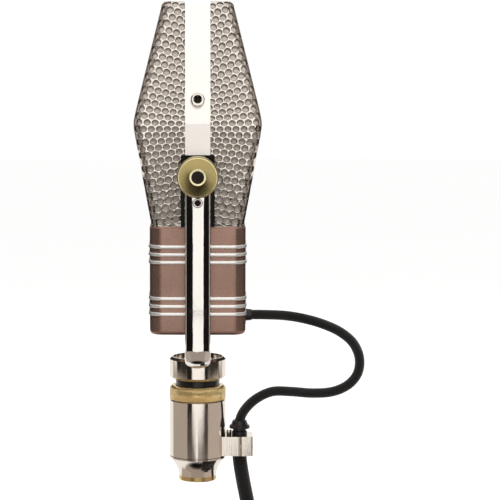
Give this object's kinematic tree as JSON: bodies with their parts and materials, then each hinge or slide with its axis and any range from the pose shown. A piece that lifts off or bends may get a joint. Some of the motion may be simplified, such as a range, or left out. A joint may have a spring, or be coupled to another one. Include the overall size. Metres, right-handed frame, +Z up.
{
  "type": "ribbon microphone",
  "caption": "Large long-ribbon studio microphone: perforated elongated hexagonal head on a trimmed case, tilting in a bent yoke on a threaded swivel mount, with its leads.",
  "frame": {"origin": "centre of the mouth of the stand thread, at the bottom of the mount", "axes": "+Z up along the stand thread's axis, -Y to the front face of the head, +Y to the rear where the leads are, X along the tilt axis"},
  "size_m": [0.1296, 0.1468, 0.4798],
  "materials": {
    "brass": "machined",
    "knob_brass": "brushed",
    "knurled_brass": "knurled and lacquered",
    "nickel": "polished nickel plate",
    "plug_nickel": "satin nickel plate",
    "grille_nickel": "perforated sheet, bright plated",
    "polished_chrome": "polished",
    "dark_steel": "blackened",
    "zinc_steel": "zinc plated",
    "soft_iron": "machined",
    "magnet_alloy": "cast",
    "black_enamel": "gloss",
    "umber_enamel": "satin",
    "grey_cloth": "fine woven",
    "black_rubber": "satin",
    "fibre": "pressed fibre",
    "brown_insulation": "phenolic board",
    "aluminium_foil": "corrugated foil",
    "enamelled_copper": "enamelled wire",
    "wound_copper": "wound wire under varnish",
    "black_braid": "fine braided sleeve",
    "black_webbing": "woven",
    "black_plastic": "moulded"
  },
  "bodies": {
    "base": {"thread_insert": "brass", "stand_socket": "nickel"},
    "yoke": {"mount_shell": "nickel", "swivel_screws": "dark_steel", "isolation_cushion": "black_rubber", "stem": "nickel", "stem_washer": "zinc_steel", "stem_nut": "zinc_steel", "neck_cushion": "black_rubber", "yoke_collar": "nickel", "yoke_tube": "polished_chrome", "yoke_bolt": "dark_steel", "arm_washers": "fibre", "clamp_body": "nickel", "clamp_cap": "nickel", "clamp_screws": "nickel", "clamp_grommet": "black_rubber", "upper_lead": "black_braid", "lower_lead": "black_braid", "lead_coil": "black_braid", "coil_ties": "black_webbing", "lead_tail": "black_braid", "plug_shell": "plug_nickel", "plug_insert": "black_plastic"},
    "lock_ring": {"lock_ring": "knurled_brass"},
    "head": {"pivot_bushes": "brass", "side_brackets": "zinc_steel", "frame_plate": "zinc_steel", "spine_left": "black_enamel", "spine_right": "black_enamel", "centre_band": "polished_chrome", "band_screws": "nickel", "grille_front": "grille_nickel", "grille_rear": "grille_nickel", "cloth_front": "grey_cloth", "cloth_rear": "grey_cloth", "magnet": "magnet_alloy", "magnet_cushions": "black_rubber", "magnet_bolts": "zinc_steel", "pole_left": "soft_iron", "pole_right": "soft_iron", "ribbon": "aluminium_foil", "ribbon_clamps": "brass", "ribbon_clamp_screws": "brass", "ribbon_insulators": "brown_insulation", "ribbon_wires": "enamelled_copper", "lower_case": "umber_enamel", "trim_bands_upper": "polished_chrome", "trim_bands_lower": "polished_chrome", "bottom_cover": "umber_enamel", "bottom_screws": "nickel", "transformer_core": "soft_iron", "transformer_coil": "wound_copper", "transformer_bracket": "zinc_steel", "terminal_board": "brown_insulation", "cable_gland": "black_rubber"},
    "knob_left": {"knob_left": "knob_brass", "pivot_screw_left": "dark_steel"},
    "knob_right": {"knob_right": "knob_brass", "pivot_screw_right": "dark_steel"}
  },
  "joints": [
    {"name": "yoke_swivel", "type": "hinge", "parent": "base", "child": "yoke", "pos_m": [0, 0, 0.02], "axis": [0, 0, 1], "range_deg": [-170, 170]},
    {"name": "lock_ring_turn", "type": "hinge", "parent": "yoke", "child": "lock_ring", "pos_m": [0, 0, 0.055], "axis": [0, 0, 1], "range_deg": [0, 120]},
    {"name": "head_tilt", "type": "hinge", "parent": "yoke", "child": "head", "pos_m": [0, 0, 0.1995], "axis": [1, 0, 0], "range_deg": [-25, 35], "deforming": ["upper_lead"]},
    {"name": "knob_left_turn", "type": "hinge", "parent": "head", "child": "knob_left", "pos_m": [-0.056, 0, 0.1995], "axis": [-1, 0, 0], "range_deg": [0, 360]},
    {"name": "knob_right_turn", "type": "hinge", "parent": "head", "child": "knob_right", "pos_m": [0.056, 0, 0.1995], "axis": [1, 0, 0], "range_deg": [0, 360]}
  ]
}
